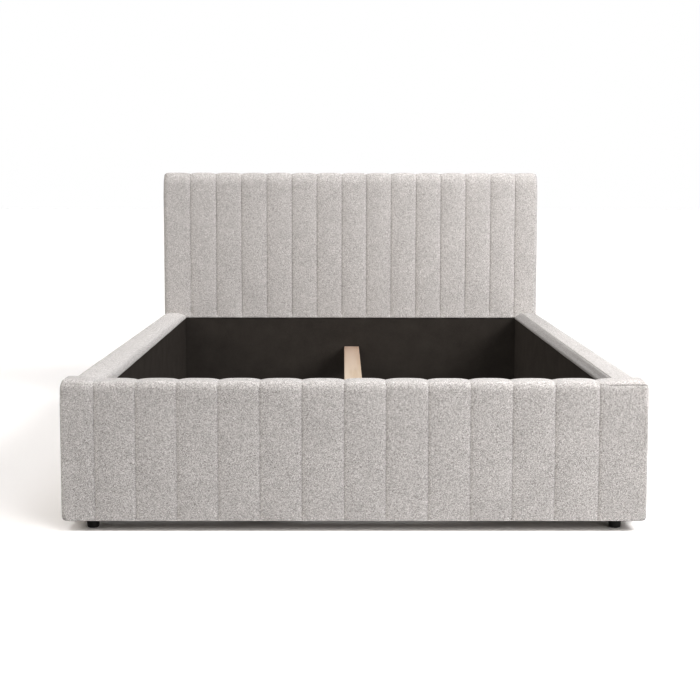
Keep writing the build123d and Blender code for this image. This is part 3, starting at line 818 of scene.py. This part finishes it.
def stretched_sheet(name, us, vs, keep, place, depth, forward, material, thickness):
    """Cloth pulled flat over a board: a grid in two ways, with holes, that lies a varying depth behind its
    plane. forward tells whether its faces turn as the grid runs, or the other way."""
    u, v = np.meshgrid(us, vs, indexing="ij")
    flat = np.stack([u.ravel(), v.ravel()], axis=1)
    faces = grid_faces(*u.shape)
    faces = faces[keep(flat[faces].mean(axis=1))]
    points = place(flat, depth(flat))
    points, faces = used_only(points, faces)
    return walled(surface(name, points, faces if forward else faces[:, ::-1], material), thickness)


def lining_depth(low, high):
    """Shallow hollows along the edges between the staples, and a slack ripple in between, never in front."""

    def depth(flat):
        edge = np.minimum(flat[:, 1] - low, high - flat[:, 1])
        hollow = np.exp(-edge / (14 * mm)) * (0.5 + 0.5 * np.cos(flat[:, 0] * 2 * np.pi / (70 * mm)))
        return 0.15 * mm + 0.5 * mm * hollow + 0.3 * mm * (1 + ripple(flat, 260 * mm, 51))

    return depth


def plate_hole(flat):
    """True outside the openings for the slot plates."""
    plate_low, plate_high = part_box("right_head_slot_plate")
    inside = (np.abs(flat[:, 0]) > plate_low.x) & (np.abs(flat[:, 0]) < plate_high.x)
    return ~(inside & (flat[:, 1] > plate_low.z) & (flat[:, 1] < plate_high.z))


def make_end_lining(name, node, toward_foot):
    """Lining of the headboard or footboard, facing into the bed."""
    low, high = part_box(node)
    plate_low, plate_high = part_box("right_head_slot_plate")
    sides = [plate_low.x, plate_high.x, -plate_low.x, -plate_high.x]
    us = graded(low.x, high.x, sides, fine=3 * mm, growth=0.2, coarse=14 * mm)
    vs = graded(low.z, high.z, [plate_low.z, plate_high.z], fine=3 * mm, growth=0.2, coarse=10 * mm)
    face = low.y if toward_foot else high.y
    inward = 1 if toward_foot else -1

    def place(flat, depth):
        return np.stack([flat[:, 0], face + inward * depth, flat[:, 1]], axis=1)

    depth = lining_depth(low.z, high.z)
    return stretched_sheet(name, us, vs, plate_hole, place, depth, toward_foot, lining_felt, 0.9 * mm)


def make_rail_lining(name, rail, side):
    """Lining of a side rail, whose upper edge follows the hem of the rail's cover."""
    low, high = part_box("right_rail_lining")
    hem_height, hem_up = rail["corners"][1][1] * mm, rail["drift"][1]
    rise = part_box("right_rail_pad")[1].z + hem_height - high.z
    us = graded(low.y, high.y, [], fine=4 * mm, growth=0.2, coarse=14 * mm)
    vs = graded(low.z, high.z, [], fine=3 * mm, growth=0.2, coarse=10 * mm)

    def place(flat, depth):
        share = (flat[:, 1] - low.z) / (high.z - low.z)
        up = share**4 * (rise + along_rail(flat[:, 0], hem_up))
        return np.stack([side * (low.x + depth), flat[:, 0], flat[:, 1] + up], axis=1)

    depth = lining_depth(low.z, high.z)
    return stretched_sheet(name, us, vs, keep_all, place, depth, side == -1, lining_felt, 0.9 * mm)


def make_back_cloth():
    """Backing over the headboard: hemmed all round, lying on the rim of the cover and hollow inside it."""
    low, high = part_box("headboard_back_cloth")
    hem = 18 * mm
    us = graded(low.x, high.x, [low.x + hem, high.x - hem], fine=2 * mm, growth=0.12, coarse=16 * mm)
    vs = graded(low.z, high.z, [low.z + hem, high.z - hem], fine=2 * mm, growth=0.12, coarse=16 * mm)

    def depth(flat):
        edge = np.minimum(flat[:, 0] - low.x, high.x - flat[:, 0])
        edge = np.minimum(edge, np.minimum(flat[:, 1] - low.z, high.z - flat[:, 1]))
        staple = 0.5 + 0.5 * np.cos((flat[:, 0] + flat[:, 1]) * 2 * np.pi / (60 * mm))
        sunk = 1.4 * mm * smooth(edge, hem, hem + 14 * mm)
        held = 0.35 * mm * staple * np.exp(-edge / (20 * mm))
        return sunk + held + 0.3 * mm * (1 + ripple(flat, 330 * mm, 61))

    def place(flat, depth):
        return np.stack([flat[:, 0], high.y + 1.1 * mm - depth, flat[:, 1]], axis=1)

    return stretched_sheet("headboard_backing", us, vs, keep_all, place, depth, False, backing, 0.8 * mm)


sheets = (
    (make_end_lining("headboard_inner_lining", "headboard_lining", True), "headboard_lining", "lining",
     "headboard_lower_board"),
    (make_end_lining("footboard_inner_lining", "footboard_lining", False), "footboard_lining", "lining",
     "footboard_inner_board"),
    (make_rail_lining("right_inner_lining", right_rail, 1), "right_rail_lining", "lining",
     "right_rail_inner_board"),
    (make_rail_lining("left_inner_lining", left_rail, -1), "left_rail_lining", "lining",
     "left_rail_inner_board"),
    (make_back_cloth(), "headboard_back_cloth", "back_cloth", "headboard_back_board"),
)
for sheet, node, slot, board in sheets:
    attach(sheet, "bed_frame")
    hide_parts(node)


# Beam and feet


def make_beam():
    """Middle beam with eased edges: a finely cut box whose long edges and ends are rounded."""
    low, high = (np.array(corner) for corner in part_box("centre_beam"))
    edge_round, end_round = 3.5 * mm, 1.5 * mm
    xs = graded(low[0], high[0], [], fine=0.7 * mm, growth=0.3, coarse=8 * mm)
    ys = graded(low[1], high[1], [], fine=0.7 * mm, growth=0.3, coarse=40 * mm)
    zs = graded(low[2], high[2], [], fine=0.7 * mm, growth=0.3, coarse=8 * mm)
    flat, faces = box_skin(xs, ys, zs, keep_all)
    edges = np.tile([edge_round, end_round, edge_round], (len(flat), 1))
    points, normal = rounded(flat, low, high, edges, edges)
    return surface("middle_beam", points, faces, pine_beam)


def make_foot(name):
    """Turned foot: a shallow top rim, a tapering side and a round lower edge over a flat sole."""
    low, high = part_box(name)
    centre = ((low.x + high.x) / 2, (low.y + high.y) / 2, 0)
    top, height = (high.x - low.x) / 2, high.z
    sole, edge = 16.5 * mm, 5.5 * mm
    angle = np.linspace(0, np.pi / 2 - 0.09, 9)
    arc = np.stack([sole - edge + edge * np.sin(angle), edge - edge * np.cos(angle)], axis=1)
    side = np.linspace(arc[-1], (top - 0.6 * mm, height - 3 * mm), 8)
    rim = [(top - 0.1 * mm, height - 2.6 * mm), (top, height - 2 * mm), (top, height - 0.6 * mm),
           (top - 0.5 * mm, height), (6 * mm, height), (0.0, height)]
    sole_ring = [(0.0, 0.4 * mm), (sole - edge - 5 * mm, 0.4 * mm), (sole - edge - 4.4 * mm, 0.0)]
    profile = np.concatenate([sole_ring, arc, side[1:], rim])
    return lathe(name.replace("_foot", "_turned_foot"), profile, centre, black_plastic)


beam = make_beam()
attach(beam, "bed_frame")
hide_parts("centre_beam")
for corner in ("front_left", "front_right", "back_left", "back_right"):
    foot = make_foot(corner + "_foot")
    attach(foot, "bed_frame")
    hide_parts(corner + "_foot")


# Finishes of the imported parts


def finish_for(node):
    """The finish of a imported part, by its name; timber takes the one whose grain runs its way."""
    if node.endswith(("_screws", "studs")):
        return yellow_zinc
    if node.endswith(("hook_plate", "slot_plate")):
        return bright_zinc
    if node.endswith(("bracket", "slat_angle")) or node in ("leg_plate", "leg_tube"):
        return black_paint
    if node in ("leg_bush", "leg_glide"):
        return black_plastic
    if node.endswith("stiles"):
        return pine_upright
    if node.endswith("crossbars"):
        return pine_across
    if node.endswith(("laths", "blocks")):
        return pine_along
    if node.endswith("back_board"):
        return brown_board
    return chip_board


for node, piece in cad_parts.items():
    for place in piece.material_slots:
        place.material = finish_for(node)


# Studio


def make_stage():
    """A wide pale floor, level with the feet. The camera sees it lit up to white, and what it throws back is
    less."""
    finish = Finish("pale_studio_floor", roughness=1.0, specular=0.0)
    seen = finish.add("ShaderNodeLightPath").outputs["Is Camera Ray"]
    finish.colour(finish.ramp(seen, [(0.0, (0.3, 0.3, 0.3)), (1.0, (0.99, 0.968, 0.952))]))
    reach = 60.0
    corners = np.array([(-reach, -reach, 0), (reach, -reach, 0), (reach, reach, 0), (-reach, reach, 0)])
    faces = np.array([[0, 1, 2, 3]])
    surface("studio_floor", corners, faces, finish.material, smoothed=False)


def make_world():
    """Surroundings that show as white and give hardly any light of their own."""
    world = bpy.data.worlds.new("studio")
    bpy.context.scene.world = world
    world.use_nodes = True
    nodes, links = world.node_tree.nodes, world.node_tree.links
    path = nodes.new("ShaderNodeLightPath")
    level = nodes.new("ShaderNodeMapRange")
    level.inputs["To Min"].default_value = 0.01
    level.inputs["To Max"].default_value = 1.0
    links.new(path.outputs["Is Camera Ray"], level.inputs["Value"])
    links.new(level.outputs["Result"], nodes["Background"].inputs["Strength"])
    nodes["Background"].inputs["Color"].default_value = (1, 1, 1, 1)


def add_light(name, data, place, way):
    light = bpy.data.objects.new(name, data)
    bpy.context.scene.collection.objects.link(light)
    light.location = place
    light.rotation_mode = "QUATERNION"
    light.rotation_quaternion = Vector(way).to_track_quat("Z", "Y")


def add_far_box(name, way, strength, colour):
    """A very wide soft box, far enough away to light the whole floor alike. way points from the bed to it."""
    data = bpy.data.lights.new(name, "SUN")
    data.angle = math.radians(30)
    data.energy = strength
    data.color = colour
    add_light(name, data, (0, 0, 3), way)


def add_near_box(name, place, power):
    """A square soft box near the bed, aimed at its middle."""
    data = bpy.data.lights.new(name, "AREA")
    data.shape = "SQUARE"
    data.size = 1.6
    data.energy = power
    add_light(name, data, place, Vector(place) - Vector((0, 0, 0.4)))


def make_lights():
    """Far boxes high and low in front, one on each side and a low one behind, cooler on the right and warmer
    at the lower left, and two near ones, at the right and in front."""
    cool, plain, warm = (0.965, 1.0, 1.055), (1.0, 1.0, 1.0), (1.04, 1.0, 0.95)
    add_far_box("high_right_box", (0.35, -0.35, 0.866), 0.68, cool)
    add_far_box("high_left_box", (-0.35, -0.35, 0.866), 1.22, plain)
    add_far_box("low_right_box", (0.62, -0.70, 0.35), 1.26, plain)
    add_far_box("low_left_box", (-0.75, -0.43, 0.5), 1.50, warm)
    add_far_box("right_side_box", (0.866, 0, 0.5), 0.38, cool)
    add_far_box("left_side_box", (-0.866, 0, 0.5), 0.50, plain)
    add_far_box("back_box", (0.25, 0.94, 0.24), 0.30, plain)
    add_near_box("near_right_box", (3.4, -1.6, 3.0), 178)
    add_near_box("near_front_box", (1.9, -3.4, 0.75), 20)


def make_camera():
    """Camera fitted to the photograph's edges: place, tilt, turn, roll, lens and shift."""
    data = bpy.data.cameras.new("camera")
    data.sensor_width = 36
    data.lens = 67.23
    data.shift_x = 0.00116
    data.shift_y = -0.0578
    data.clip_end = 200
    camera = bpy.data.objects.new("camera", data)
    bpy.context.scene.collection.objects.link(camera)
    pitch, yaw, roll = (math.radians(angle) for angle in (5.207, -0.259, 0.074))
    turned = Matrix.Rotation(yaw, 4, "Z") @ Matrix.Rotation(math.pi / 2 - pitch, 4, "X")
    turned = turned @ Matrix.Rotation(roll, 4, "Z")
    camera.matrix_world = Matrix.Translation((-0.0307, -4.5969, 0.9284)) @ turned
    bpy.context.scene.camera = camera


make_stage()
make_world()
make_lights()
make_camera()
bpy.context.scene.view_settings.view_transform = "Standard"
bpy.context.scene.view_settings.gamma = 0.77
